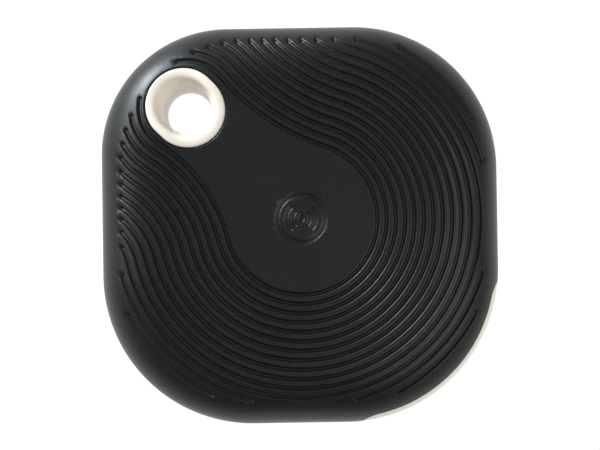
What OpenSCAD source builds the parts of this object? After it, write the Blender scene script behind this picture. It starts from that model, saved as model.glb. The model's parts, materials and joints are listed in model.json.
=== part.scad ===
// Bluetooth tracker tag: a pebble-shaped case with a soft front, a key-ring eyelet and a press point.
// The back lies on Z = 0, the front faces +Z, and the eyelet is in the corner at -X +Y.

/* [Case] */
// Width of the square case, side to side
case_w = 40; // [39:0.5:42]
// Thickness of the case
case_h = 12; // [11.5:0.5:13]
// Radius of the corner that holds the eyelet, seen from the front
eyelet_corner_r = 12.8; // [12.6:0.1:13.2]
// Radius of the corner at +X +Y
right_corner_r = 14.4; // [13.5:0.1:15]
// Radius of the corner at -X -Y
left_corner_r = 15.1; // [14:0.1:15.5]
// Radius of the corner with the thumbnail cut-away, at +X -Y
thumb_corner_r = 15.5; // [14.5:0.1:16]
// Radius that rolls the front face over into the sides
front_round = 5.5; // [5.3:0.1:5.7]
// Radius that rolls the back face over into the sides
back_round = 4.5; // [4.3:0.1:4.7]
// Height of the line where the black front half meets the ivory back half
parting_z = 4.8; // [4.6:0.1:5.2]
// Thickness of the back shell's floor
floor_t = 1.3; // [1.1:0.1:1.4]
// Thickness of the soft black skin
skin_t = 0.9; // [0.8:0.05:1]
// Thickness of the rigid cover under the skin
cover_t = 1.08; // [1:0.02:1.1]

/* [Thumbnail cut-away] */
// Height of the cut-away in the black skirt at the corner opposite the eyelet
notch_top = 9; // [8.8:0.1:9.4]
// Width of the cut-away across the corner
notch_w = 19.5; // [16:0.5:20]
// Radius of the cut-away's upper corners
notch_r = 1.5; // [1:0.25:2]

/* [Press point] */
// Centre of the press point, left to right
press_x = 0.15; // [0:0.05:0.3]
// Centre of the press point, bottom to top
press_y = 0.5; // [0.3:0.05:0.7]
// Radius of the part of the skin that is pressed in
press_r = 6.9; // [6.7:0.05:6.95]
// How far the press point travels
press_travel = 0.3; // [0.2:0.05:0.3]

/* [Eyelet] */
// Centre of the eyelet, left to right
eyelet_x = -11.2; // [-11.3:0.05:-10.9]
// Centre of the eyelet, bottom to top
eyelet_y = 11.7; // [11.4:0.05:11.8]
// Radius of the hole for a key ring or cord
eyelet_bore_r = 2.38; // [2:0.02:2.6]
// Half the eyelet's width across the diagonal
eyelet_r = 3.72; // [3.6:0.02:3.8]
// How much longer than wide the eyelet is, at each end
eyelet_stretch = 0.38; // [0.3:0.02:0.45]
// Gap between the eyelet and the black front around it
eyelet_gap = 0.12; // [0.08:0.02:0.16]
// Radius of the eyelet's rolled-in front lip
lip_round = 1.2; // [1.1:0.1:1.3]
// Height at which the eyelet's hole starts to widen towards the front
throat_z = 4.3; // [4:0.1:6]
// How much wider, in radius, the hole is just under the lip
throat_flare = 0.25; // [0.2:0.05:0.3]

/* [Coin cell] */
// Diameter of the coin cell
cell_d = 20; // [19.8:0.1:20]
// Thickness of the coin cell
cell_h = 3.2; // [3:0.1:3.2]
// Thickness of the foam pad under the cell
pad_t = 0.3; // [0.2:0.05:0.3]

/* [Circuit board] */
// Thickness of the circuit board
board_t = 0.8; // [0.6:0.1:0.8]
// Height of the board's lower face
board_z = 5.7; // [5.6:0.05:5.75]
// Height of the radio's metal shield over the board
shield_h = 1.3; // [1.1:0.1:1.5]
// Height of the sounder over the board
buzzer_h = 2.2; // [2:0.1:2.3]

/* [Hidden] */
$fn = 96;

half_w = case_w / 2;
// Corner radii in the order +X +Y, -X +Y, -X -Y, +X -Y
corner_rs = [right_corner_r, eyelet_corner_r, left_corner_r, thumb_corner_r];
core = half_w - eyelet_corner_r;          // the furthest out that a corner's centre lies
front_z = case_h - front_round;           // height at which the front starts to roll over
fit = 0.1;                                // gap between the two halves where they meet
bond = 0.02;                              // glue line between the skin and the cover
cover_in = skin_t + bond + cover_t;       // inset of the cover's inner face
lip_out = cover_in + fit;                 // inset of the back shell's lip, outer face
lip_in = lip_out + 0.9;                   // inset of the lip's inner face
lip_top = 6.6;
gasket_h = 0.58;
rib_in = lip_in + 0.6;                    // inset of the cover's sealing rib, inner face
black = "#1d1e20";
ivory = "#e6dac6";
gold = "#c9a24a";
steel = "#b9bcc0";

eyelet_at = [eyelet_x, eyelet_y];
back_tail_r = eyelet_r - 0.5;
eyelet_shoulder_z = floor_t + 0.02;
mouth_r = eyelet_bore_r + throat_flare;
lip_z = case_h - lip_round;
back_lip = 0.5;                           // radius of the hole's rolled rim at the back

// The coin cell lies in the back shell, clear of the eyelet
cell_at = [1.5, -1.5];
cell_r = cell_d / 2;
cell_z = floor_t + pad_t + 0.02;
cell_top = cell_z + cell_h;
can_t = 0.3;
seal_t = 0.5;
cap_r = cell_r - can_t - seal_t - 0.04;
pocket_r = cell_r + 0.15;
pocket_t = 0.8;
pocket_top = 3.8;
finger_w = 3;                             // width of the spring finger at the cell's side

// Board, screws and what stands on the board
board_top = board_z + board_t;
board_in = rib_in;
screws_at = [[13.2, 5.5], [-12, -9.5], [11.5, -12]];
screw_r = 0.6;
screw_root_r = 0.45;
screw_head_r = 1.15;
screw_head_h = 0.6;
screw_pitch = 0.5;
boss_r = 1.6;
boss_bottom = board_top + 0.02;
screw_tip = 9;
buzzer_at = [7.8, 10.2];
buzzer_r = 4.2;
shield_at = [-3.5, -9.5];
shield_w = 9;
shield_d = 8;
shield_t = 0.15;

// Button stack, from the skin down to the switch
press_at = [press_x, press_y];
roof_z = case_h - cover_in;               // underside of the cover's flat roof
plunger_top = case_h - skin_t - bond;
flange_r = press_r + 0.95;
flange_top = roof_z - 0.06;
flange_h = 0.65;
switch_w = 4.2;
switch_h = 1.15;
dome_z = board_top + 0.37;
dome_base_r = 1.6;
dome_rise = 0.4;
stem_r = 0.95;
stem_flange_r = 1.4;
stem_bottom = dome_z + dome_rise + 0.02;
stem_top = 8.02;
plunger_bottom = stem_top + 0.03;

// ---- shapes shared by several parts ----

// Outline of the case seen from the front, set in by inset
module outline(inset) {
    reach = half_w - inset;
    centres = [for (r = corner_rs) half_w - r];
    polygon([
        [reach, -centres[3]], [reach, centres[0]], [centres[0], reach], [-centres[1], reach],
        [-reach, centres[1]], [-reach, -centres[2]], [-centres[2], -reach], [centres[3], -reach]]);
    for (quarter = [0:3]) rotate(90 * quarter)
        translate([centres[quarter], centres[quarter]]) circle(corner_rs[quarter] - inset);
}

module plate(inset, low, high) {
    translate([0, 0, low]) linear_extrude(high - low) outline(inset);
}

// Section of the case's rim from the centre of a corner of radius corner_r outwards, set in by
// inset on every face
module rim_section(inset, corner_r) {
    reach = corner_r - inset;
    front_c = corner_r - front_round;
    back_c = corner_r - back_round;
    translate([0, back_round]) square([reach, front_z - back_round]);
    translate([0, front_z]) square([front_c, front_round - inset]);
    translate([0, inset]) square([back_c, back_round - inset]);
    intersection() {
        translate([front_c, front_z]) circle(front_round - inset);
        translate([front_c, front_z]) square(front_round);
    }
    intersection() {
        translate([back_c, back_round]) circle(back_round - inset);
        translate([back_c, 0]) square(back_round);
    }
}

// The whole case as one solid, set in by inset on every face
module pebble(inset) {
    for (quarter = [0:3]) {
        r = corner_rs[quarter];
        side = 2 * half_w - r - corner_rs[(quarter + 3) % 4];
        rotate(90 * quarter) translate([half_w - r, half_w - r, 0]) {
            rotate_extrude(angle = 90) rim_section(inset, r);
            rotate([90, 0, 0]) linear_extrude(side) rim_section(inset, r);
        }
    }
    translate([-core, -core, inset]) cube([2 * core, 2 * core, case_h - 2 * inset]);
}

module above(z) {
    translate([-case_w, -case_w, z]) cube([2 * case_w, 2 * case_w, 2 * case_h]);
}

module below(z) {
    translate([-case_w, -case_w, z - 2 * case_h]) cube([2 * case_w, 2 * case_w, 2 * case_h]);
}

// A round post stretched along the diagonal, as the eyelet is
module eyelet_post(r, low, high) {
    translate([eyelet_at.x, eyelet_at.y, low]) rotate(135) linear_extrude(high - low) {
        for (side = [-1, 1]) translate([side * eyelet_stretch, 0]) circle(r);
        square([2 * eyelet_stretch, 2 * r], center = true);
    }
}

// The block across the corner at +X -Y that the black skirt is cut back from
module notch_block(shrink) {
    w = notch_w - 2 * shrink;
    top = notch_top - shrink;
    rotate(-45) translate([core, 0, 0]) rotate([90, 0, 90]) linear_extrude(case_w) {
        translate([-w / 2, -1]) square([w, top - notch_r + 1]);
        translate([-w / 2 + notch_r, 0]) square([w - 2 * notch_r, top]);
        for (side = [-1, 1]) translate([side * (w / 2 - notch_r), top - notch_r]) circle(notch_r);
    }
}

module at(place, z) {
    translate([place.x, place.y, z]) children();
}

module tube(r_out, r_in, h) {
    difference() {
        cylinder(r = r_out, h = h);
        translate([0, 0, -1]) cylinder(r = r_in, h = h + 2);
    }
}

// ---- back half ----

module lugs(low, high, w, deep) {
    for (quarter = [0:3]) rotate(90 * quarter)
        translate([half_w - lip_out - 0.2, -w / 2, low]) cube([deep + 0.2, w, high - low]);
}

module shell_wall() {
    difference() {
        pebble(0);
        pebble(floor_t);
        above(parting_z - fit);
    }
}

module shell_lip() {
    difference() {
        union() {
            plate(floor_t - 0.05, 3.6, parting_z - fit);
            plate(lip_out, 3.6, lip_top);
        }
        plate(lip_in, 3, lip_top + 1);
    }
    lugs(5.3, 6.1, 4, 0.35);
}

module corner_wall() {
    difference() {
        intersection() {
            pebble(0);
            notch_block(fit);
        }
        plate(lip_out + 0.4, -1, lip_top - 0.1);
        plate(lip_out, lip_top - 0.2, case_h + 1);
        below(parting_z - 0.5);
    }
}

module cell_pocket() {
    difference() {
        at(cell_at, floor_t - 0.2) tube(pocket_r + pocket_t, pocket_r, pocket_top - floor_t + 0.2);
        translate([cell_at.x, cell_at.y - finger_w / 2 - 0.8, floor_t])
            cube([half_w, finger_w + 1.6, case_h]);
        for (angle = [120, 240]) at(cell_at, floor_t) rotate(angle)
            translate([0, -3, 1]) cube([half_w, 6, case_h]);
    }
}

module back_shell() {
    color(ivory) difference() {
        union() {
            shell_wall();
            shell_lip();
            corner_wall();
            cell_pocket();
        }
        eyelet_post(back_tail_r + 0.02, -1, floor_t + 1);
        eyelet_post(eyelet_r + 0.04, floor_t, case_h);
    }
}

// Bushing through both halves, with a shoulder on the back shell's floor
module eyelet() {
    color(ivory) difference() {
        intersection() {
            union() {
                eyelet_post(back_tail_r, -1, floor_t + 1);
                eyelet_post(eyelet_r, eyelet_shoulder_z, case_h + 1);
            }
            pebble(0);
        }
        at(eyelet_at, -1) cylinder(r = eyelet_bore_r, h = case_h + 2);
        at(eyelet_at, throat_z) cylinder(r1 = eyelet_bore_r, r2 = mouth_r, h = lip_z - throat_z);
        at(eyelet_at, lip_z) lip_cut(mouth_r, lip_round, 1);
        at(eyelet_at, back_lip) mirror([0, 0, 1]) lip_cut(eyelet_bore_r, back_lip, 1);
    }
}

// What is taken out above the mouth of a hole of radius hole_r to roll its edge over by r
module lip_cut(hole_r, r, over) {
    rotate_extrude() difference() {
        square([hole_r + r, r + over]);
        translate([hole_r + r, 0]) circle(r);
    }
}

module rim_gasket() {
    color("#3a3d42") difference() {
        plate(lip_out + 0.1, lip_top + 0.02, lip_top + 0.02 + gasket_h);
        plate(lip_in - 0.1, lip_top - 1, lip_top + 2);
        eyelet_post(eyelet_r + eyelet_gap, lip_top - 1, lip_top + 2);
    }
}

module cell_pad() {
    color("#55585c") at(cell_at, floor_t) cylinder(r = 7.5, h = pad_t);
}

// ---- coin cell ----

module cell_can() {
    color(steel) difference() {
        at(cell_at, cell_z) cylinder(r = cell_r, h = cell_h - 0.25);
        at(cell_at, cell_z + can_t) cylinder(r = cell_r - can_t, h = cell_h);
    }
}

module cell_seal() {
    color("#20242c") at(cell_at, cell_z + can_t)
        tube(cell_r - can_t - 0.02, cell_r - can_t - seal_t, cell_h - can_t - 0.15);
}

module cell_cap() {
    color("#c9cbcd") at(cell_at, cell_z + can_t + 0.02) {
        cylinder(r = cap_r, h = cell_h - can_t - 0.22);
        cylinder(r = cap_r - 0.5, h = cell_h - can_t - 0.02);
    }
}

// ---- front half ----

// What the black parts leave free for the eyelet and for the ivory wall behind the cut-away
module front_clearance() {
    eyelet_post(eyelet_r + eyelet_gap, -1, case_h + 1);
    difference() {
        notch_block(0);
        plate(lip_out + 0.05, -1, case_h + 1);
    }
}

module front_skin() {
    color(black) difference() {
        pebble(0);
        pebble(skin_t);
        below(parting_z);
        front_clearance();
        at(press_at, front_z) cylinder(r = press_r + 0.1, h = case_h);
    }
}

module press_pad() {
    color(black) at(press_at, case_h - skin_t) cylinder(r = press_r, h = skin_t);
}

module cover_shell() {
    difference() {
        pebble(skin_t + bond);
        pebble(cover_in);
        below(parting_z);
        lugs(parting_z - 1, 6.3, 4.4, 0.45);
    }
}

module cover_rib() {
    difference() {
        intersection() {
            plate(lip_out + 0.1, lip_top + gasket_h + 0.04, case_h);
            pebble(cover_in - 0.3);
        }
        plate(rib_in, 0, case_h + 1);
    }
}

module cover_bosses() {
    for (place = screws_at) intersection() {
        at(place, boss_bottom) cylinder(r = boss_r, h = case_h);
        pebble(cover_in - 0.3);
    }
}

module front_cover() {
    color("#26272a") difference() {
        union() {
            cover_shell();
            cover_rib();
            cover_bosses();
        }
        front_clearance();
        at(press_at, front_z) cylinder(r = press_r + 0.15, h = case_h);
        for (place = screws_at) at(place, boss_bottom - 1)
            cylinder(r = screw_r + 0.02, h = screw_tip + 0.3 - boss_bottom + 1);
    }
}

module button_plunger() {
    color("#2c2d30") at(press_at, 0) {
        translate([0, 0, flange_top - 0.1]) cylinder(r = press_r, h = plunger_top - flange_top + 0.1);
        translate([0, 0, flange_top - flange_h]) cylinder(r = flange_r, h = flange_h);
        translate([0, 0, plunger_bottom]) cylinder(r = 1.3, h = flange_top - plunger_bottom - 0.1);
    }
}

// ---- circuit board and what is on it ----

module circuit_board() {
    color("#1f5f3f") difference() {
        plate(board_in, board_z, board_top);
        eyelet_post(eyelet_r + 0.7, board_z - 1, board_top + 1);
        for (place = screws_at) at(place, board_z - 1) cylinder(r = screw_r + 0.1, h = board_t + 2);
    }
}

module board_screw() {
    turns = floor((screw_tip - board_z) / screw_pitch);
    thread = [for (i = [0:turns - 1], p = [[screw_root_r, 0], [screw_r, screw_pitch / 2]])
        [p.x, i * screw_pitch + p.y]];
    difference() {
        translate([0, 0, -screw_head_h]) cylinder(r = screw_head_r, h = screw_head_h - 0.02);
        for (turn = [0, 90]) rotate(turn)
            translate([-0.7, -0.14, -screw_head_h - 0.1]) cube([1.4, 0.28, 0.4]);
    }
    translate([0, 0, -0.1]) rotate_extrude()
        polygon(concat([[0, 0]], thread, [[screw_root_r, turns * screw_pitch], [0, turns * screw_pitch + 0.3]]));
}

module board_screws() {
    color(steel) for (place = screws_at) at(place, board_z) board_screw();
}

module switch_base() {
    color("#17181a") difference() {
        at(press_at, board_top) translate([-switch_w / 2, -switch_w / 2, 0])
            cube([switch_w, switch_w, switch_h - 0.2]);
        at(press_at, dome_z - 0.02) cylinder(r = dome_base_r + 0.1, h = 2);
    }
}

module switch_frame() {
    color(steel) difference() {
        at(press_at, board_top + switch_h - 0.2) translate([-switch_w / 2, -switch_w / 2, 0])
            cube([switch_w, switch_w, 0.2]);
        at(press_at, board_top) cylinder(r = stem_r + 0.1, h = 3);
    }
}

// Snap dome: a shallow cap of sheet steel
module switch_dome() {
    dome_r = (dome_base_r * dome_base_r + dome_rise * dome_rise) / (2 * dome_rise);
    color(steel) at(press_at, dome_z) intersection() {
        translate([0, 0, dome_rise - dome_r]) difference() {
            sphere(dome_r);
            sphere(dome_r - 0.06);
        }
        cylinder(r = dome_base_r, h = 1);
    }
}

module switch_stem() {
    color("#d9d4c7") at(press_at, stem_bottom) {
        cylinder(r = stem_flange_r, h = 0.15);
        cylinder(r = stem_r, h = stem_top - stem_bottom);
    }
}

module radio_chip() {
    color("#202225") difference() {
        at(shield_at, board_top) translate([-2.5, -2.5, 0]) cube([5, 5, 0.85]);
        at(shield_at, board_top + 0.8) translate([-1.9, 1.9, 0]) cylinder(r = 0.25, h = 1);
    }
}

module radio_shield() {
    color("#b4b7ba") at(shield_at, board_top) difference() {
        translate([-shield_w / 2, -shield_d / 2, 0]) cube([shield_w, shield_d, shield_h]);
        translate([-shield_w / 2 + shield_t, -shield_d / 2 + shield_t, -1])
            cube([shield_w - 2 * shield_t, shield_d - 2 * shield_t, shield_h - shield_t + 1]);
        for (x = [-3:1.5:3], y = [-2.25:1.5:2.25])
            translate([x, y, 0]) cylinder(r = 0.3, h = shield_h + 1);
    }
}

module crystal() {
    color("#c4c6c8") {
        translate([3.2, -9, board_top]) cube([3.2, 2.5, 0.3]);
        translate([3.4, -8.8, board_top + 0.25]) cube([2.8, 2.1, 0.4]);
    }
}

module chip_antenna() {
    color("#e9e6df") translate([-14.8, -3.2, board_top]) {
        translate([0, 0.6, 0]) cube([2, 5.2, 1.1]);
        translate([-0.05, 0, 0]) cube([2.1, 0.65, 1.15]);
        translate([-0.05, 5.75, 0]) cube([2.1, 0.65, 1.15]);
    }
}

// A surface-mount part with a metal cap at each end
module chip_part(place, turn, body_w, body_h) {
    at(place, board_top) rotate(turn) {
        translate([-0.55, -body_w / 2, 0.02]) cube([1.1, body_w, body_h]);
        for (side = [-1, 1]) translate([side * 0.65 - 0.2, -body_w / 2 - 0.03, 0])
            cube([0.4, body_w + 0.06, body_h + 0.05]);
    }
}

module capacitors() {
    color("#b08a5c") for (i = [0:3]) {
        chip_part([4 + 2.3 * i, -5.4], 90, 0.8, 0.7);
        chip_part([-9.1, -12.3 + 2 * i], 0, 0.8, 0.7);
    }
}

module resistors() {
    color("#2a2b2d") for (i = [0:2]) {
        chip_part([-8.5 + 2 * i, -2.6], 90, 0.7, 0.4);
        chip_part([-11.4, 2.2 + 1.6 * i], 0, 0.7, 0.4);
    }
}

module buzzer_case() {
    color("#141517") difference() {
        at(buzzer_at, board_top) cylinder(r = buzzer_r, h = buzzer_h);
        at(buzzer_at, board_top + 0.3) cylinder(r = buzzer_r - 0.4, h = buzzer_h - 0.7);
        at(buzzer_at, board_top) cylinder(r = 0.8, h = buzzer_h + 1);
    }
}

module buzzer_plate() {
    color("#c7b37a") at(buzzer_at, board_top + 1.3) tube(buzzer_r - 0.45, 0.5, 0.12);
}

module buzzer_coil() {
    color("#b5652f") at(buzzer_at, board_top + 0.32) tube(2.2, 0.9, 0.7);
}

// ---- battery springs, soldered under the board ----

module negative_contact() {
    foot_z = board_z - 0.15;
    tip_z = cell_top + 0.02;
    color(gold) translate([cell_at.x, cell_at.y + 1.5, 0]) rotate([90, 0, 0]) linear_extrude(3)
        polygon([[-6, foot_z], [-3.6, foot_z], [0.4, tip_z], [1.4, tip_z], [2.3, tip_z + 0.4],
            [2.3, tip_z + 0.55], [1.3, tip_z + 0.14], [0.5, tip_z + 0.14], [-3.5, board_z - 0.01],
            [-6, board_z - 0.01]]);
}

module positive_contact() {
    side_x = cell_at.x + cell_r + 0.05;
    foot_z = board_z - 0.15;
    color(gold) translate([side_x, cell_at.y + finger_w / 2, 0]) rotate([90, 0, 0])
        linear_extrude(finger_w)
        polygon([[3, board_z - 0.01], [3, foot_z], [0.5, foot_z], [0.15, 3.6], [0.45, 2.4],
            [0.32, 2.35], [0, 3.6], [0.35, board_z - 0.01]]);
}

back_shell();
eyelet();
rim_gasket();
cell_pad();
cell_can();
cell_seal();
cell_cap();
front_skin();
press_pad();
front_cover();
button_plunger();
circuit_board();
board_screws();
switch_base();
switch_frame();
switch_dome();
switch_stem();
radio_chip();
radio_shield();
crystal();
chip_antenna();
capacitors();
resistors();
buzzer_case();
buzzer_plate();
buzzer_coil();
negative_contact();
positive_contact();
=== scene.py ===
"""Bluetooth tracker tag: the looks of the soft black front with its wave grooves, the ivory
eyelet, and procedural materials for every part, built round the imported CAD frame."""

import json
import math

import bmesh
import bpy
import numpy as np
from mathutils import Matrix, Vector
from mathutils.geometry import delaunay_2d_cdt


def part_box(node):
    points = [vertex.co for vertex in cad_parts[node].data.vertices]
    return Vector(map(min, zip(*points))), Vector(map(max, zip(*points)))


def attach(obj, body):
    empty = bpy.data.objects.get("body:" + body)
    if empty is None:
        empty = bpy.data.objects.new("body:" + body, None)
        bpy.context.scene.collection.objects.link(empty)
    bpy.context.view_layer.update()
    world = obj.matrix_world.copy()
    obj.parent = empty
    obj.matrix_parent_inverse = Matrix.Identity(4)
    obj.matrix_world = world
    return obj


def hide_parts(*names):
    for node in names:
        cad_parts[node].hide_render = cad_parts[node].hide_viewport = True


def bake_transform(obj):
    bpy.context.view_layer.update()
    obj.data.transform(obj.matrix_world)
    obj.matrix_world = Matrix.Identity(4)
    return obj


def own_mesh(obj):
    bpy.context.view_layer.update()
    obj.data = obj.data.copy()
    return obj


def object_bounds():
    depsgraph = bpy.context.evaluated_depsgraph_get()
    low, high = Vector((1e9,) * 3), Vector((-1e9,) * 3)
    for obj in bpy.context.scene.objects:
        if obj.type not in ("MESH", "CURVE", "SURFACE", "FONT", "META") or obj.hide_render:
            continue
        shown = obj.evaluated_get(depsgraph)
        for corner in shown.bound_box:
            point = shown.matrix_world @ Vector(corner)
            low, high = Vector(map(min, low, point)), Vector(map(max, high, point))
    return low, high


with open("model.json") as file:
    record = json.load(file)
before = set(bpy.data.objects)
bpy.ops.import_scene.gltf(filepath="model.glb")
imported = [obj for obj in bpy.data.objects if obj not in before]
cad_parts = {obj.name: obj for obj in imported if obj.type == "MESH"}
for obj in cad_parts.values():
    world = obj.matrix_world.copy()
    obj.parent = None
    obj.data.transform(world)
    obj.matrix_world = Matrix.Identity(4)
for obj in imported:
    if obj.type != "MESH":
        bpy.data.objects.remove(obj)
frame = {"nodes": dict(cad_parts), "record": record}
cad_low, cad_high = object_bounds()

# ---- sizes, in millimetres unless the name says otherwise ----

MM = 0.001


def middle_of(node):
    """Middle of a CAD node, seen from the front."""
    low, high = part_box(node)
    return np.array((low + high).to_2d()) / 2 / MM


CASE_HALF = cad_high.x / MM
CASE_TOP = cad_high.z / MM
CORNERS = np.array((14.4, 12.8, 15.1, 15.5))   # corner radii: +X +Y, eyelet, -X -Y, cut-away
SIDES = 2 * CASE_HALF - CORNERS - np.roll(CORNERS, 1)   # the straight side before each corner
RIM_STARTS = np.concatenate([[0], np.cumsum(SIDES + CORNERS * math.pi / 2)])
RIM_LENGTH = RIM_STARTS[-1]
ROLL_REACH = 7.5                      # how far in from the edge the front starts to roll over
ROLL_DROP = 5.5                       # how far down the roll-over goes
ROLL_POWER = 2.3                      # 2 is an ellipse; more keeps the front flatter
ROLL_Z = CASE_TOP - ROLL_DROP
SKIN_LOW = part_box("front_skin")[0].z / MM
PRESS = middle_of("press_pad")
SKIN_T = (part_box("press_pad")[1].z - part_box("press_pad")[0].z) / MM
EYELET = middle_of("eyelet")
DIAGONAL = np.array((-1.0, 1.0)) / math.sqrt(2)
ACROSS = np.array((-1.0, -1.0)) / math.sqrt(2)
EYELET_R = 3.72                       # half the eyelet's width across the diagonal
EYELET_STRETCH = 0.38                 # how much longer it is at each end along the diagonal
BORE_MOUNT = next(m for m in frame["record"]["mounts"] if m["name"] == "eyelet_bore")
BORE_R = BORE_MOUNT["dims"]["r_mm"]

# The cut-away in the skirt, across the corner at +X -Y
NOTCH_HALF = 9.75
NOTCH_TOP = 9.0
NOTCH_ROUND = 1.5
NOTCH_DRAFT = 0.2                     # its sides lean out by this much towards the back

# Wave grooves: parallel lines round a keyhole outline made of three tangent arcs
KEY_R = 7.54                          # the keyhole's arc round the press point
LOOP_R = 4.57                         # its arc round the eyelet
WAIST_R = np.array((22.5, 15.5))      # its hollow arcs between them, at +X +Y and at -X -Y
REACH = 16.12                         # from the press point to the loop's centre
PITCH = 0.916
PITCH_GROWTH = 0.0015                 # the pitch widens a little outwards, by this much a groove
GROOVES = 15
GROOVE_DEPTH = 0.28
FLOOR_HALF = 0.06                     # half the groove's flat floor
MOUTH_HALF = 0.29                     # half its width at the surface
END_CENTRE = np.array((0.12, 0.44))   # the grooves end at a rounded square of their own
END_HALF = 17.92
END_CORNER = 12.5

# Emblem: a ring with a beacon sign, sunk into the press point
EMBLEM_DEPTH = 0.10
EMBLEM_WALL = 0.05
EMBLEM_RING = (2.36, 0.15)            # radius and half width of its line
EMBLEM_ARCS = ((0.86, 0.12), (1.46, 0.12))
EMBLEM_SPAN = math.radians(46)        # each arc's half angle
EMBLEM_DOT_R = 0.3

# Eyelet
HOLE_R = EYELET_R + 0.12              # the opening in the skin, with a gap all round
HOLE_EDGE = 0.10                      # how far the opening's edge is rounded
LIP_SINK = 0.05                       # the eyelet's edge lies this far under the skin's surface
LIP_EDGE = 0.2
THROAT_Z = 4.3                        # where the lip has turned down into the straight bore
LIP_POWER = 4.0                       # 2 turns it down like an ellipse; more keeps its front flatter
TAIL_R = EYELET_R - 0.5               # the part that goes through the back shell's floor
TAIL_EDGE = 0.1
SHOULDER_Z = 1.32
BACK_RIM = 0.5
BACK_ROUND = 4.5                      # radius that rolls the back face over into the sides

DOME_T = 0.05                         # sheet thickness of the switch's snap dome
DOME_ROWS = 15
DOME_COLUMNS = 48

# How finely the skin's mesh is divided
RIM_COLUMNS = 560
HOLE_COLUMNS = 120
RIM_START = 1.22                      # inset at which the skirt's columns meet the patterned front
LINING_START = 2.2                    # the same for the lining underneath
SECTION_STEPS = 60                    # points that a skirt section's curves are worked out from
SECTION_TRACE = 400                   # points along each of its sides before the edge is rounded
SKIRT_ROWS = 15
LINING_ROWS = 10
SKIRT_EDGE = 0.13                     # how far the skirt's lower edge is rounded
SKIRT_EDGE_ROWS = 5                   # rows round each of that edge's two corners
NOTCH_STEPS = 9                       # points up each side of the cut-away, and round its corner
NOTCH_TRACE = 4000                    # places along the rim where the cut-away's width is known
NOTCH_CLEAR = 0.25                    # the plain columns keep this far from its sides
RIM_CLEAR = 0.2                       # the pattern's points keep this far from the skirt's top
HOLE_CLEAR = 0.02                     # and this far from the eyelet's opening
LINING_CLEAR = 0.3                    # the lining's points keep this far from both
LINE_STEP = 0.26                      # between points along a groove
DETAIL_GAP = 0.035                    # points nearer than this are thinned out
ROOM_GAP = 0.42                       # between the points that fill the room left
LINING_GAP = 1.0
LIP_COLUMNS = 160
LIP_STEPS = 33                        # rows from the lip's edge down to the bore
EDGE_STEPS = 7                        # rows round a small edge
WELD = 2e-4                           # points nearer than this are one


# ---- outlines ----

def rounded_square(points, half, corners, centre=(0.0, 0.0)):
    """Signed distance to a rounded square, negative inside."""
    rel = points - np.array(centre)
    right, up = rel[:, 0] >= 0, rel[:, 1] >= 0
    corner = np.where(up, np.where(right, corners[0], corners[1]),
                      np.where(right, corners[3], corners[2]))
    q = np.abs(rel) - (half - corner)[:, None]
    outside = np.hypot(np.maximum(q[:, 0], 0), np.maximum(q[:, 1], 0))
    return outside + np.minimum(q.max(axis=1), 0) - corner


def inset_of(points):
    """How far in from the case's outline a point lies, seen from the front."""
    return -rounded_square(points, CASE_HALF, CORNERS)


def front_height(inset):
    """Height of the front surface over a place that far in from the outline."""
    u = np.clip((ROLL_REACH - inset) / ROLL_REACH, 0, 1)
    return ROLL_Z + ROLL_DROP * (1 - u ** ROLL_POWER) ** (1 / ROLL_POWER)


def lining_height(inset):
    """Height of the skin's inner surface, which lies on the cover."""
    inner = ROLL_DROP - SKIN_T
    run = np.clip(ROLL_DROP - inset, 0, inner)
    return ROLL_Z + np.sqrt(inner ** 2 - run ** 2)


def rim_points(columns):
    """Points on the case's outline and the way inwards at each, evenly along it."""
    along = columns % RIM_LENGTH
    turn = np.searchsorted(RIM_STARTS, along, side="right") - 1
    r, side, r_before = CORNERS[turn], SIDES[turn], np.roll(CORNERS, 1)[turn]
    rest = along - RIM_STARTS[turn]
    angle = np.clip((rest - side) / r, 0, math.pi / 2)
    x = CASE_HALF - r + r * np.cos(angle)
    y = np.minimum(rest, side) - (CASE_HALF - r_before) + r * np.sin(angle)
    spin = turn * math.pi / 2
    place = np.stack([x * np.cos(spin) - y * np.sin(spin), x * np.sin(spin) + y * np.cos(spin)], 1)
    inward = -np.stack([np.cos(angle + spin), np.sin(angle + spin)], 1)
    return place, inward


def obround(centre, r, stretch, count):
    """A circle stretched along the diagonal, as a loop of points."""
    angle = np.arange(count) * 2 * math.pi / count
    around = np.stack([np.cos(angle), np.sin(angle)], 1)
    return centre + r * around + stretch * np.sign(around @ DIAGONAL)[:, None] * DIAGONAL


def obround_distance(points):
    """Signed distance from the eyelet's stretched circle of radius 0 across."""
    rel = points - EYELET
    along = rel @ DIAGONAL
    beyond = along - np.clip(along, -EYELET_STRETCH, EYELET_STRETCH)
    return np.hypot(beyond, rel @ ACROSS)


# ---- wave grooves ----

WAIST_ALONG = (REACH ** 2 + (KEY_R + WAIST_R) ** 2 - (LOOP_R + WAIST_R) ** 2) / (2 * REACH)
WAIST_ACROSS = np.sqrt((KEY_R + WAIST_R) ** 2 - WAIST_ALONG ** 2)
KEY_ANGLE = np.arctan2(WAIST_ACROSS, WAIST_ALONG)
LOOP_ANGLE = np.arctan2(WAIST_ACROSS, WAIST_ALONG - REACH)
GROOVE_OFFSETS = np.array([PITCH * k * (1 + PITCH_GROWTH * k) for k in range(GROOVES)])


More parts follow.
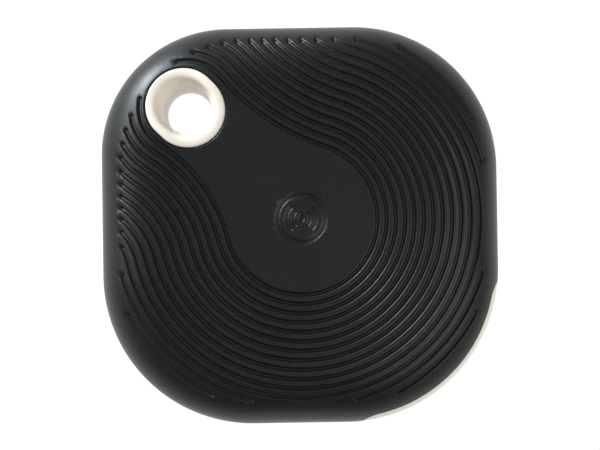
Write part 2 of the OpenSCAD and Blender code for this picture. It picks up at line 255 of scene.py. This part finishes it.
def keyhole_offset(points):
    """Distance outwards from the keyhole outline, and the way outwards."""
    rel = points - PRESS
    along = rel @ DIAGONAL
    which = (rel @ ACROSS > 0).astype(int)
    side = np.where(which, 1.0, -1.0)
    across = np.abs(rel @ ACROSS)
    near_press = np.arctan2(across, along) >= KEY_ANGLE[which]
    near_eyelet = np.arctan2(across, along - REACH) <= LOOP_ANGLE[which]
    hub_along = np.where(near_press, 0.0, np.where(near_eyelet, REACH, WAIST_ALONG[which]))
    hub_across = np.where(near_press | near_eyelet, 0.0, WAIST_ACROSS[which])
    radius = np.where(near_press, KEY_R, np.where(near_eyelet, LOOP_R, WAIST_R[which]))
    hollow = np.where(near_press | near_eyelet, 1.0, -1.0)
    u, v = along - hub_along, across - hub_across
    away = np.maximum(np.hypot(u, v), 1e-9)
    offset = hollow * (away - radius)
    outward = (hollow * u / away)[:, None] * DIAGONAL + (hollow * side * v / away)[:, None] * ACROSS
    return offset, outward


def end_distance(points):
    """Signed distance to the outline at which grooves end."""
    return rounded_square(points, END_HALF, (END_CORNER,) * 4, END_CENTRE)


def centreline(offset, which, step):
    """One groove's centreline, on one side, from its far end to beyond the eyelet."""
    waist = WAIST_R[which]
    waist_along, waist_across = WAIST_ALONG[which], WAIST_ACROSS[which]

    def arc(along, across, r, start, stop):
        count = max(3, int(abs(stop - start) * r / step))
        angle = np.linspace(start, stop, count, endpoint=False)
        return np.stack([along + r * np.cos(angle), across + r * np.sin(angle)], 1)
    to_press = math.atan2(-waist_across, -waist_along)
    to_eyelet = math.atan2(-waist_across, REACH - waist_along)
    return np.concatenate([
        arc(0, 0, KEY_R + offset, math.pi, KEY_ANGLE[which]),
        arc(waist_along, waist_across, waist - offset, to_press, to_eyelet),
        arc(REACH, 0, LOOP_R + offset, LOOP_ANGLE[which], 0)])


def groove_runs(step):
    """Each groove's points that lie inside the end outline, and the points where it ends."""
    lines, ends = [], []
    for number, offset in enumerate(GROOVE_OFFSETS):
        for which, side in enumerate((-1, 1)):
            half = centreline(offset, which, step)
            line = PRESS + half[:, :1] * DIAGONAL + side * half[:, 1:] * ACROSS
            room = end_distance(line)
            lines.append((number, line[room < 0]))
            for i in np.nonzero((room[1:] < 0) != (room[:-1] < 0))[0]:
                share = room[i] / (room[i] - room[i + 1])
                ends.append(line[i] + share * (line[i + 1] - line[i]))
    return lines, np.array(ends)


GROOVE_LINES, GROOVE_ENDS = groove_runs(LINE_STEP)


def smooth(x, low, high):
    """Rises softly from 0 at low to 1 at high."""
    t = np.clip((x - low) / (high - low), 0, 1)
    return t * t * (3 - 2 * t)


def groove_distance(points):
    """Distance to the nearest groove's centreline, round its end where it ends."""
    offset, outward = keyhole_offset(points)
    gap = offset[:, None] - GROOVE_OFFSETS
    nearest = np.abs(gap).argmin(axis=1)
    gap = gap[np.arange(len(points)), nearest]
    foot = points - gap[:, None] * outward
    to_ends = np.linalg.norm(points[:, None] - GROOVE_ENDS, axis=2).min(axis=1)
    return np.where(end_distance(foot) < 0, np.abs(gap), to_ends)


def emblem_strokes(points):
    """Signed distances to the emblem's strokes: the ring, the beacon's arcs and its dot."""
    rel = points - PRESS
    r = np.hypot(rel[:, 0], rel[:, 1])
    angle = np.arctan2(rel[:, 1], np.abs(rel[:, 0]))
    held = np.clip(angle, -EMBLEM_SPAN, EMBLEM_SPAN)
    strokes = [np.abs(r - EMBLEM_RING[0]) - EMBLEM_RING[1], r - EMBLEM_DOT_R]
    for arc_r, half in EMBLEM_ARCS:
        tip = np.stack([arc_r * np.cos(held), arc_r * np.sin(held)], 1)
        here = np.stack([r * np.cos(angle), r * np.sin(angle)], 1)
        strokes.append(np.linalg.norm(here - tip, axis=1) - half)
    return np.min(strokes, axis=0)


def relief(points):
    """How deep the pattern is cut into the front at each point."""
    wave = GROOVE_DEPTH * (1 - smooth(groove_distance(points), FLOOR_HALF, MOUTH_HALF))
    mark = EMBLEM_DEPTH * (1 - smooth(emblem_strokes(points), -EMBLEM_WALL, EMBLEM_WALL))
    return np.maximum(wave, mark)


def front_point(points):
    """Places on the patterned front surface, over points seen from the front."""
    step = 1e-4
    height = front_height(inset_of(points))
    slope_x = (front_height(inset_of(points + [step, 0])) - height) / step
    slope_y = (front_height(inset_of(points + [0, step])) - height) / step
    normal = np.stack([-slope_x, -slope_y, np.ones(len(points))], 1)
    normal /= np.linalg.norm(normal, axis=1)[:, None]
    surface = np.column_stack([points, height])
    hole = np.round(obround_distance(points) - HOLE_R, 4)
    edge = HOLE_EDGE * (1 - np.sqrt(1 - (1 - np.clip(hole / HOLE_EDGE, 0, 1)) ** 2))
    return surface - (relief(points) + edge)[:, None] * normal


# ---- meshes ----

class Solid:
    """Collects points and faces, in millimetres, and makes one welded mesh of them."""

    def __init__(self):
        self.points, self.faces = [], []
        self.count = 0

    def add(self, points, faces):
        self.points.append(np.asarray(points, float))
        self.faces += [tuple(int(i) + self.count for i in f) for f in faces]
        self.count += len(points)

    def grid(self, rows):
        """Rows of points, each a closed loop of the same length, joined into a band."""
        rows = np.asarray(rows, float)
        n, m = rows.shape[:2]
        faces = []
        for i in range(n - 1):
            for j in range(m):
                k = (j + 1) % m
                faces.append((i * m + j, i * m + k, (i + 1) * m + k, (i + 1) * m + j))
        self.add(rows.reshape(-1, 3), faces)

    def make(self, name, material):
        bm = bmesh.new()
        verts = [bm.verts.new(p) for p in np.concatenate(self.points)]
        for f in self.faces:
            corners = [verts[i] for i in f]
            if len(set(corners)) == len(corners):
                bm.faces.new(corners)
        bmesh.ops.remove_doubles(bm, verts=bm.verts, dist=WELD)
        bmesh.ops.dissolve_degenerate(bm, edges=bm.edges, dist=1e-5)
        bmesh.ops.delete(bm, geom=[e for e in bm.edges if not e.link_faces], context="EDGES")
        bmesh.ops.recalc_face_normals(bm, faces=bm.faces)
        bmesh.ops.scale(bm, vec=(MM, MM, MM), verts=bm.verts)
        open_edges = sum(1 for e in bm.edges if len(e.link_faces) != 2)
        mesh = bpy.data.meshes.new(name)
        bm.to_mesh(mesh)
        bm.free()
        for polygon in mesh.polygons:
            polygon.use_smooth = True
        print(name, len(mesh.polygons), "faces,", open_edges, "open edges")
        obj = bpy.data.objects.new(name, mesh)
        bpy.context.scene.collection.objects.link(obj)
        mesh.materials.append(material)
        return obj


def thin_out(points, gap):
    """Drops points that share a small cell with an earlier one."""
    cell = np.round(points / gap).astype(np.int64)
    first = np.unique(cell, axis=0, return_index=True)[1]
    return points[np.sort(first)]


def triangles_between(outer, hole, inner_points):
    """Triangulates the area inside outer and outside hole, seen from the front."""
    loops = np.concatenate([outer, hole])
    n, m = len(outer), len(hole)
    edges = [(i, (i + 1) % n) for i in range(n)] + [(n + i, n + (i + 1) % m) for i in range(m)]
    points = np.concatenate([loops, inner_points])
    verts, _, faces, *_ = delaunay_2d_cdt([Vector(p) for p in points], edges, [], 1, 1e-7)
    flat = np.array([tuple(v) for v in verts])
    faces = np.array([tuple(f) for f in faces])
    outside_hole = obround_distance(flat) > obround_distance(hole).max() + 1e-4
    return flat, faces[outside_hole[faces].any(axis=1)]


def hex_points(spacing, reach):
    """Evenly spread points over a square, in staggered rows."""
    rows = np.arange(-reach, reach, spacing * math.sqrt(3) / 2)
    columns = np.arange(-reach, reach, spacing)
    x, y = np.meshgrid(columns, rows)
    x = x + spacing / 2 * (np.arange(len(rows)) % 2)[:, None]
    return np.stack([x.ravel(), y.ravel()], 1)


def groove_points():
    """Points that follow every groove's section, and fans round the groove ends."""
    across = np.array([0, FLOOR_HALF, 0.11, 0.16, 0.21, 0.25, MOUTH_HALF, 0.36])
    across = np.concatenate([-across[:0:-1], across])
    found = []
    for number, line in GROOVE_LINES:
        outward = keyhole_offset(line)[1]
        beyond = GROOVE_OFFSETS[min(number + 1, GROOVES - 1)] - GROOVE_OFFSETS[number]
        for d in np.append(across, beyond / 2 if beyond else PITCH / 2):
            found.append(line + d * outward)
    fan = np.arange(12) * math.pi / 6
    for r in (0, FLOOR_HALF, 0.12, 0.18, 0.24, MOUTH_HALF):
        ring = GROOVE_ENDS[:, None] + r * np.stack([np.cos(fan), np.sin(fan)], 1)
        found.append(ring.reshape(-1, 2))
    return np.concatenate(found)


def emblem_points():
    """Points that follow the emblem's edges."""
    found = []
    walls = np.array([-EMBLEM_WALL, 0, EMBLEM_WALL])

    def circle(r, step=0.07):
        angle = np.arange(0, 2 * math.pi, step / r)
        return PRESS + r * np.stack([np.cos(angle), np.sin(angle)], 1)
    for side in (-1, 1):
        for wall in walls:
            found.append(circle(EMBLEM_RING[0] + side * (EMBLEM_RING[1] + wall), 0.1))
            for arc_r, half in EMBLEM_ARCS:
                found.append(circle(arc_r + side * (half + wall)))
    found += [circle(EMBLEM_DOT_R + wall, 0.05) for wall in walls]
    found += [circle(r, 0.12) for r in (0.15, EMBLEM_RING[0], *[a[0] for a in EMBLEM_ARCS])]
    tips = [PRESS + [side * r * math.cos(EMBLEM_SPAN), up * r * math.sin(EMBLEM_SPAN)]
            for r, _ in EMBLEM_ARCS for side in (-1, 1) for up in (-1, 1)]
    fan = np.arange(16) * math.pi / 8
    for tip in tips:
        for wall in walls:
            r = EMBLEM_ARCS[0][1] + wall
            found.append(tip + r * np.stack([np.cos(fan), np.sin(fan)], 1))
    return np.concatenate(found)


def notch_edge():
    """The skirt's lower edge: how far along the rim and how high, one entry a column."""
    plain = np.arange(RIM_COLUMNS) * RIM_LENGTH / RIM_COLUMNS
    corner = RIM_LENGTH - CORNERS[3] * math.pi / 4
    place = rim_points(plain)[0]
    across = np.abs(place @ ACROSS)
    at_corner = (place[:, 0] - place[:, 1]) > CASE_HALF
    away = np.where(at_corner, across, CASE_HALF)
    keep = (away > NOTCH_HALF + NOTCH_DRAFT + NOTCH_CLEAR) | (away < NOTCH_HALF - NOTCH_ROUND)
    along, height = [plain[keep]], [np.where(away[keep] < NOTCH_HALF, NOTCH_TOP, SKIN_LOW)]
    turn = np.linspace(0, math.pi / 2, NOTCH_STEPS)
    rise = np.linspace(0, 1, NOTCH_STEPS)[:-1]
    side_away = np.concatenate([NOTCH_HALF + NOTCH_DRAFT * (1 - rise),
                                NOTCH_HALF - NOTCH_ROUND * (1 - np.cos(turn))])
    side_up = np.concatenate([SKIN_LOW + (NOTCH_TOP - NOTCH_ROUND - SKIN_LOW) * rise,
                              NOTCH_TOP - NOTCH_ROUND * (1 - np.sin(turn))])
    fine = np.linspace(0, RIM_LENGTH / 8, NOTCH_TRACE)
    spread = np.abs(rim_points(corner + fine)[0] @ ACROSS)
    reach = np.interp(side_away, spread, fine)
    for side in (-1, 1):
        along.append((corner + side * reach) % RIM_LENGTH)
        height.append(side_up)
    along, height = np.concatenate(along), np.concatenate(height)
    order = np.argsort(along)
    return along[order], height[order]


def resample(path, count):
    """The same path as count points, evenly along it."""
    path = np.array(path)
    along = np.concatenate([[0], np.cumsum(np.linalg.norm(np.diff(path, axis=0), axis=1))])
    at = np.linspace(0, along[-1], count)
    return np.stack([np.interp(at, along, path[:, k]) for k in range(path.shape[1])], 1)


def curve_between(a, corner, b, count):
    """A soft curve from a to b that rounds off the corner between them."""
    t = np.linspace(0, 1, count)[:, None]
    return (1 - t) ** 2 * a + 2 * t * (1 - t) * corner + t ** 2 * b


def skirt_section(start, bottom, stop):
    """Section of the skirt as inset and height: down the outside, round the edge, up the inside."""
    steps = np.linspace(1, 0, SECTION_STEPS) ** 2
    inset = np.append(start * steps, 0)
    outside = np.stack([inset, np.append(front_height(inset[:-1]), bottom - 1)], 1)
    outside = outside[outside[:, 1] > bottom]
    edge_inset = np.interp(bottom, front_height(inset[-2::-1]), inset[-2::-1]) if bottom > ROLL_Z else 0
    outer_corner = np.array([edge_inset, bottom])
    outside = np.vstack([outside, outer_corner])
    inset = np.append(SKIN_T + (stop - SKIN_T) * steps, SKIN_T)
    lining = np.stack([inset, np.append(lining_height(inset[:-1]), bottom - 1)], 1)
    lining = lining[lining[:, 1] > bottom]
    edge_inset = SKIN_T
    if bottom > ROLL_Z:
        edge_inset = np.interp(bottom, lining_height(inset[-2::-1]), inset[-2::-1])
    inner_corner = np.array([edge_inset, bottom])
    lining = np.vstack([lining, inner_corner])
    down = resample(outside, SECTION_TRACE)
    up = resample(lining, SECTION_TRACE)
    cut_down = down[np.linalg.norm(down - outer_corner, axis=1) >= SKIRT_EDGE]
    cut_up = up[np.linalg.norm(up - inner_corner, axis=1) >= SKIRT_EDGE]
    across = (inner_corner - outer_corner) / np.linalg.norm(inner_corner - outer_corner)
    first = curve_between(cut_down[-1], outer_corner, outer_corner + SKIRT_EDGE * across, SKIRT_EDGE_ROWS)
    second = curve_between(inner_corner - SKIRT_EDGE * across, inner_corner, cut_up[-1], SKIRT_EDGE_ROWS)
    return np.concatenate([resample(cut_down, SKIRT_ROWS)[:-1], first, second,
                           resample(cut_up[::-1], LINING_ROWS)[1:]])


def skin_solid():
    """The soft black front as one closed solid: patterned front, skirt, lining and eyelet hole."""
    solid = Solid()
    along, bottom = notch_edge()
    place, inward = rim_points(along)
    columns = []
    for i in range(len(along)):
        section = skirt_section(RIM_START, bottom[i], LINING_START)
        columns.append(np.column_stack([place[i] + section[:, :1] * inward[i], section[:, 1]]))
    solid.grid(np.transpose(columns, (1, 0, 2)))

    hole = obround(EYELET, HOLE_R, EYELET_STRETCH, HOLE_COLUMNS)
    rounding = [obround(EYELET, HOLE_R + HOLE_EDGE * t, EYELET_STRETCH, HOLE_COLUMNS)
                for t in (0.3, 0.6, 1)]
    detail = thin_out(np.concatenate([*rounding, groove_points(), emblem_points()]), DETAIL_GAP)
    inner_points = between_loops(np.concatenate([detail, room_left(detail, ROOM_GAP)]))
    flat, faces = triangles_between(place + RIM_START * inward, hole, inner_points)
    solid.add(front_point(flat), faces)

    inner_points = hex_points(LINING_GAP, CASE_HALF)
    inner_points = inner_points[(inset_of(inner_points) > LINING_START + LINING_CLEAR) &
                                (obround_distance(inner_points) > HOLE_R + LINING_CLEAR)]
    flat, faces = triangles_between(place + LINING_START * inward, hole, inner_points)
    solid.add(np.column_stack([flat, lining_height(inset_of(flat))]), faces)
    solid.grid([front_point(hole), np.column_stack([hole, lining_height(inset_of(hole))])])
    return solid


def room_left(detail, spacing):
    """Evenly spread points wherever the detail leaves room."""
    def cells(points):
        column, row = np.round(points / spacing * 1.4).astype(int).T
        return column * 10000 + row
    spread_out = hex_points(spacing, CASE_HALF)
    return spread_out[~np.isin(cells(spread_out), cells(detail))]


def between_loops(points):
    """The points that lie clear inside the skirt's top and clear outside the eyelet's opening."""
    return points[(inset_of(points) > RIM_START + RIM_CLEAR) &
                  (obround_distance(points) > HOLE_R + HOLE_CLEAR)]


def back_height(inset):
    """Height of the back surface over a place that far in from the outline."""
    run = np.clip(BACK_ROUND - inset, 0, BACK_ROUND)
    return BACK_ROUND - np.sqrt(BACK_ROUND ** 2 - run ** 2)


def eyelet_solid():
    """The ivory bushing: a soft lip that rolls from its stretched outline into a round throat."""
    def ring(r):
        return obround(EYELET, r, EYELET_STRETCH, LIP_COLUMNS)

    def bore(r):
        return obround(EYELET, r, 0, LIP_COLUMNS)

    def row(xy, z):
        return np.column_stack([xy, np.broadcast_to(z, LIP_COLUMNS)])
    edge = front_height(inset_of(ring(EYELET_R))) - LIP_SINK
    tail = back_height(inset_of(ring(TAIL_R)))
    rim = back_height(inset_of(bore(BORE_R)))
    turns = np.linspace(0, math.pi / 2, EDGE_STEPS)
    rows = [row(ring(EYELET_R), SHOULDER_Z)]
    for t in turns:
        r = EYELET_R - LIP_EDGE * (1 - math.cos(t))
        rows.append(row(ring(r), edge - LIP_EDGE * (1 - math.sin(t))))
    lip = ring(EYELET_R - LIP_EDGE)
    for t in np.linspace(0, math.pi / 2, LIP_STEPS)[1:]:
        inwards, down = math.sin(t) ** (2 / LIP_POWER), 1 - abs(math.cos(t)) ** (2 / LIP_POWER)
        rows.append(row(lip + (bore(BORE_R) - lip) * inwards, edge - (edge - THROAT_Z) * down))
    rows.append(row(bore(BORE_R), (THROAT_Z + BACK_RIM) / 2))
    for t in turns:
        r = BORE_R + BACK_RIM * (1 - math.cos(t))
        rows.append(row(bore(r), rim + BACK_RIM * (1 - math.sin(t))))
    for t in turns:
        r = TAIL_R - TAIL_EDGE * (1 - math.sin(t))
        rows.append(row(ring(r), tail + TAIL_EDGE * (1 - math.cos(t))))
    rows.append(row(ring(TAIL_R), SHOULDER_Z))
    rows.append(rows[0])
    solid = Solid()
    solid.grid(rows)
    return solid


def dome_solid():
    """The switch's snap dome: a shallow cap of sheet steel with a flat foot all round."""
    low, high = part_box("switch_dome")
    centre, foot_r = middle_of("switch_dome"), (high.x - low.x) / 2 / MM
    z, rise = low.z / MM, (high.z - low.z) / MM
    top = [(foot_r * (1 - t), z + rise * math.sin(t * math.pi / 2))
           for t in np.linspace(0, 1, DOME_ROWS)[:-1]]
    underside = [(max(r - DOME_T, 0.0), h - DOME_T) for r, h in top[:0:-1]]
    profile = [*top, (0.0, z + rise), (0.0, z + rise - DOME_T),
               *underside, (foot_r - 3 * DOME_T, z), top[0]]
    solid = Solid()
    solid.grid([np.column_stack([obround(centre, r, 0, DOME_COLUMNS), np.full(DOME_COLUMNS, h)])
                for r, h in profile])
    return solid


# ---- materials ----

def new_material(name):
    """A node material with its Principled shader and object coordinates, in metres."""
    mat = bpy.data.materials.new(name)
    mat.use_nodes = True
    nodes = mat.node_tree.nodes
    shader = nodes["Principled BSDF"]
    coordinates = nodes.new("ShaderNodeTexCoord").outputs["Object"]
    return mat, shader, coordinates


def noise(mat, coordinates, size_mm, detail=3.0):
    """A noise whose features are about size_mm across."""
    nodes, links = mat.node_tree.nodes, mat.node_tree.links
    node = nodes.new("ShaderNodeTexNoise")
    node.inputs["Scale"].default_value = 1 / (size_mm * MM)
    node.inputs["Detail"].default_value = detail
    links.new(coordinates, node.inputs["Vector"])
    return node.outputs["Fac"]


def ramp(mat, value, low, high, start=0.35, stop=0.65):
    """Colours between low and high, following value."""
    nodes, links = mat.node_tree.nodes, mat.node_tree.links
    node = nodes.new("ShaderNodeValToRGB")
    node.color_ramp.elements[0].position, node.color_ramp.elements[1].position = start, stop
    node.color_ramp.elements[0].color, node.color_ramp.elements[1].color = (*low, 1), (*high, 1)
    links.new(value, node.inputs["Fac"])
    return node.outputs["Color"]


def spread(mat, value, low, high):
    """A number between low and high, following value."""
    nodes, links = mat.node_tree.nodes, mat.node_tree.links
    node = nodes.new("ShaderNodeMapRange")
    node.inputs["From Min"].default_value, node.inputs["From Max"].default_value = 0.3, 0.7
    node.inputs["To Min"].default_value, node.inputs["To Max"].default_value = low, high
    links.new(value, node.inputs["Value"])
    return node.outputs["Result"]


def bump(mat, shader, value, height_mm, under=None):
    """Bumps of about that height on the shader's normal, over the bumps under it."""
    nodes, links = mat.node_tree.nodes, mat.node_tree.links
    node = nodes.new("ShaderNodeBump")
    node.inputs["Strength"].default_value = 1.0
    node.inputs["Distance"].default_value = height_mm * MM
    links.new(value, node.inputs["Height"])
    if under is not None:
        links.new(under, node.inputs["Normal"])
    links.new(node.outputs["Normal"], shader.inputs["Normal"])
    return node.outputs["Normal"]


def finish_material(name, low, high, rough, grain_mm, grain_height, blotch_mm=4.0, **sockets):
    """Colour that drifts between low and high, roughness that varies, and a fine grain."""
    mat, shader, coordinates = new_material(name)
    links = mat.node_tree.links
    blotch = noise(mat, coordinates, blotch_mm)
    grain = noise(mat, coordinates, grain_mm, 2.0)
    links.new(ramp(mat, blotch, low, high), shader.inputs["Base Color"])
    links.new(spread(mat, blotch, *rough), shader.inputs["Roughness"])
    bump(mat, shader, grain, grain_height)
    for socket, value in sockets.items():
        shader.inputs[socket.replace("_", " ")].default_value = value
    return mat


def soft_black():
    """Soft-touch moulding: matte, with a fine sparkle of grain that breaks up the highlights."""
    mat, shader, coordinates = new_material("soft_black")
    links = mat.node_tree.links
    blotch = noise(mat, coordinates, 5.0)
    grain = noise(mat, coordinates, 0.16, 2.0)
    fine = noise(mat, coordinates, 0.06, 1.0)
    links.new(ramp(mat, grain, (0.006, 0.0064, 0.0066), (0.014, 0.0148, 0.0152)),
              shader.inputs["Base Color"])
    links.new(spread(mat, blotch, 0.34, 0.40), shader.inputs["Roughness"])
    under = bump(mat, shader, grain, 0.013)
    bump(mat, shader, fine, 0.003, under)
    shader.inputs["Specular IOR Level"].default_value = 0.28
    return mat


def ivory_plastic():
    """Moulded ivory plastic, slightly translucent, with a satin surface."""
    mat = finish_material("ivory_plastic", (0.72, 0.66, 0.57), (0.76, 0.70, 0.61), (0.30, 0.40),
                          0.25, 0.002, Subsurface_Weight=0.25, Subsurface_Scale=0.0008)
    shader = mat.node_tree.nodes["Principled BSDF"]
    shader.inputs["Subsurface Radius"].default_value = (1.0, 0.7, 0.45)
    return mat


def metal(name, low, high, rough, line_mm=0.15, height=0.0008):
    """Bare metal with faint scuffs."""
    return finish_material(name, low, high, rough, line_mm, height, 2.5, Metallic=1.0)


def board_green():
    """Solder mask over copper: traces and pours show as lighter bands under the green."""
    mat, shader, coordinates = new_material("board_green")
    nodes, links = mat.node_tree.nodes, mat.node_tree.links
    traces = nodes.new("ShaderNodeTexVoronoi")
    traces.distance = "CHEBYCHEV"
    traces.feature = "F1"
    traces.inputs["Scale"].default_value = 1 / (1.8 * MM)
    traces.inputs["Randomness"].default_value = 0.85
    links.new(coordinates, traces.inputs["Vector"])
    tone = ramp(mat, traces.outputs["Distance"], (0.012, 0.10, 0.045), (0.03, 0.17, 0.075),
                0.30, 0.34)
    links.new(tone, shader.inputs["Base Color"])
    links.new(spread(mat, noise(mat, coordinates, 3.0), 0.22, 0.34), shader.inputs["Roughness"])
    bump(mat, shader, traces.outputs["Distance"], 0.02)
    shader.inputs["Coat Weight"].default_value = 0.4
    return mat


def cell_steel(name, centre):
    """Nickel-plated steel with fine turned rings about the cell's middle."""
    mat, shader, coordinates = new_material(name)
    nodes, links = mat.node_tree.nodes, mat.node_tree.links
    place = nodes.new("ShaderNodeMapping")
    place.inputs["Location"].default_value = (-centre.x, -centre.y, 0)
    links.new(coordinates, place.inputs["Vector"])
    rings = nodes.new("ShaderNodeTexWave")
    rings.wave_type = "RINGS"
    rings.rings_direction = "Z"
    rings.inputs["Scale"].default_value = 1 / (4 * MM)
    rings.inputs["Distortion"].default_value = 1.5
    rings.inputs["Detail"].default_value = 3
    links.new(place.outputs["Vector"], rings.inputs["Vector"])
    links.new(ramp(mat, rings.outputs["Fac"], (0.55, 0.56, 0.58), (0.66, 0.67, 0.68)),
              shader.inputs["Base Color"])
    links.new(spread(mat, noise(mat, coordinates, 2.0), 0.2, 0.34), shader.inputs["Roughness"])
    bump(mat, shader, rings.outputs["Fac"], 0.002)
    shader.inputs["Metallic"].default_value = 1.0
    return mat


def pale_floor():
    """White paper lit from below as well, so that the tag throws hardly any shadow. It is clear
    from underneath, so that the tag's back can be looked at."""
    mat = finish_material("pale_floor", (0.10, 0.10, 0.10), (0.12, 0.12, 0.12), (0.8, 0.9),
                          2.0, 0.002, 40, Emission_Color=(1, 1, 1, 1), Emission_Strength=0.97)
    nodes, links = mat.node_tree.nodes, mat.node_tree.links
    sides = nodes.new("ShaderNodeMixShader")
    links.new(nodes.new("ShaderNodeNewGeometry").outputs["Backfacing"], sides.inputs["Fac"])
    links.new(nodes["Principled BSDF"].outputs["BSDF"], sides.inputs[1])
    links.new(nodes.new("ShaderNodeBsdfTransparent").outputs["BSDF"], sides.inputs[2])
    links.new(sides.outputs["Shader"], nodes["Material Output"].inputs["Surface"])
    return mat


def paint(materials):
    """Gives each CAD node its material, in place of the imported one."""
    for names, mat in materials:
        for name in names:
            mesh = frame["nodes"][name].data
            mesh.materials.clear()
            mesh.materials.append(mat)


cell_middle = sum(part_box("cell_can"), Vector()) / 2
ivory = ivory_plastic()
steel = metal("sheet_steel", (0.50, 0.51, 0.53), (0.62, 0.63, 0.64), (0.22, 0.36))
black_rigid = finish_material("black_rigid", (0.014, 0.014, 0.016), (0.022, 0.022, 0.024), (0.38, 0.5),
                              0.3, 0.003)
chip_black = finish_material("chip_black", (0.012, 0.012, 0.013), (0.02, 0.02, 0.021), (0.4, 0.5),
                             0.08, 0.004)
gold = metal("gold_plate", (0.78, 0.52, 0.2), (0.86, 0.62, 0.28), (0.2, 0.32))
brass = metal("brass", (0.62, 0.43, 0.16), (0.72, 0.52, 0.22), (0.25, 0.4))
copper = metal("copper_wire", (0.55, 0.2, 0.08), (0.7, 0.3, 0.13), (0.25, 0.4), 0.08, 0.01)
paint([
    (["back_shell", "eyelet"], ivory),
    (["front_cover"], black_rigid),
    (["button_plunger"], finish_material("plunger_plastic", (0.03, 0.03, 0.033), (0.04, 0.04, 0.044),
                                         (0.42, 0.5), 0.3, 0.003)),
    (["rim_gasket"], finish_material("gasket_rubber", (0.035, 0.038, 0.043), (0.05, 0.053, 0.06),
                                     (0.6, 0.75), 0.2, 0.006, Sheen_Weight=0.2)),
    (["cell_pad"], finish_material("foam", (0.07, 0.075, 0.08), (0.13, 0.135, 0.14), (0.85, 0.95),
                                   0.25, 0.06, 0.3, Sheen_Weight=0.3)),
    (["cell_can"], cell_steel("cell_can_steel", cell_middle)),
    (["cell_cap"], cell_steel("cell_cap_steel", cell_middle)),
    (["cell_seal"], finish_material("seal_plastic", (0.012, 0.015, 0.022), (0.02, 0.024, 0.03),
                                    (0.35, 0.45), 0.2, 0.002)),
    (["circuit_board"], board_green()),
    (["board_screws", "switch_frame"], steel),
    (["radio_shield"], metal("tin_plate", (0.58, 0.58, 0.56), (0.68, 0.68, 0.66), (0.3, 0.45),
                             0.5, 0.003)),
    (["switch_base", "radio_chip", "resistors"], chip_black),
    (["switch_stem"], finish_material("stem_plastic", (0.45, 0.05, 0.04), (0.55, 0.07, 0.05),
                                      (0.35, 0.45), 0.2, 0.002)),
    (["crystal"], metal("crystal_can", (0.6, 0.6, 0.6), (0.7, 0.7, 0.7), (0.15, 0.25))),
    (["chip_antenna"], finish_material("ceramic_white", (0.7, 0.7, 0.66), (0.78, 0.78, 0.75), (0.4, 0.5),
                                       0.1, 0.003)),
    (["capacitors"], finish_material("capacitor_tan", (0.36, 0.25, 0.15), (0.48, 0.35, 0.22),
                                     (0.35, 0.45), 0.08, 0.003, 0.8)),
    (["buzzer_case"], finish_material("buzzer_black", (0.012, 0.012, 0.012), (0.02, 0.02, 0.02),
                                      (0.28, 0.38), 0.25, 0.003)),
    (["buzzer_plate"], brass),
    (["buzzer_coil"], copper),
    (["negative_contact", "positive_contact"], gold),
])


# ---- the object's own pieces ----

skin = skin_solid().make("front_skin_soft", soft_black())
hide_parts("front_skin", "press_pad")
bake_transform(skin)

lip = eyelet_solid().make("eyelet_lip", ivory)
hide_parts("eyelet")
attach(lip, "back_half")

dome = dome_solid().make("snap_dome", steel)
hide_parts("switch_dome")
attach(dome, "front_half")
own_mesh(dome)


# ---- floor, light and camera ----

LIGHT_AIM = Vector((0, 0, 0.006))
FLOOR_GAP = 0.0001                    # metres between the case's back and the floor


def area_light(name, place, size, power, colour=(1, 1, 1)):
    """A soft light of size in metres, aimed at the case's middle."""
    data = bpy.data.lights.new(name, "AREA")
    data.shape = "RECTANGLE"
    data.size, data.size_y = size
    data.energy, data.color = power, colour
    lamp = bpy.data.objects.new(name, data)
    bpy.context.scene.collection.objects.link(lamp)
    lamp.location = place
    lamp.rotation_euler = (LIGHT_AIM - Vector(place)).to_track_quat("-Z", "Y").to_euler()


bpy.ops.mesh.primitive_plane_add(size=1.6, location=(0, 0, -FLOOR_GAP))
floor = bpy.context.object
floor.name = "floor"
floor.data.materials.append(pale_floor())

area_light("key", (-0.38, 0.24, 0.24), (0.40, 0.20), 2.2, (0.98, 0.99, 1.0))
area_light("fill", (0.26, -0.12, 0.34), (0.4, 0.4), 1.25)
area_light("strip", (-0.30, 0.30, 0.10), (0.10, 0.05), 2.6, (0.84, 0.93, 1.0))

world = bpy.data.worlds.new("studio")
bpy.context.scene.world = world
world.use_nodes = True
world.node_tree.nodes["Background"].inputs["Color"].default_value = (1.0, 1.0, 1.0, 1)
world.node_tree.nodes["Background"].inputs["Strength"].default_value = 0.15
bpy.context.scene.view_settings.view_transform = "Standard"

CAMERA_OVER_FACE = 0.200              # metres from the front face
CAMERA_TILT = math.radians(1.3)       # the camera stands a little towards -Y
CAMERA_ROLL = math.radians(-0.9)
VIEW_WIDTH = 60.914                   # millimetres across the frame, at the case's widest

camera_data = bpy.data.cameras.new("camera")
camera = bpy.data.objects.new("camera", camera_data)
bpy.context.scene.collection.objects.link(camera)
bpy.context.scene.camera = camera
distance = CAMERA_OVER_FACE + ROLL_DROP * MM
target = Vector((0, 0, ROLL_Z * MM))
camera_data.sensor_width = 36
camera_data.lens = camera_data.sensor_width * distance / (VIEW_WIDTH * MM)
tilt = Matrix.Rotation(CAMERA_TILT, 4, "X")
camera.matrix_world = Matrix.Translation(target) @ tilt @ Matrix.Rotation(CAMERA_ROLL, 4, "Z") @ \
    Matrix.Translation((0, 0, distance))
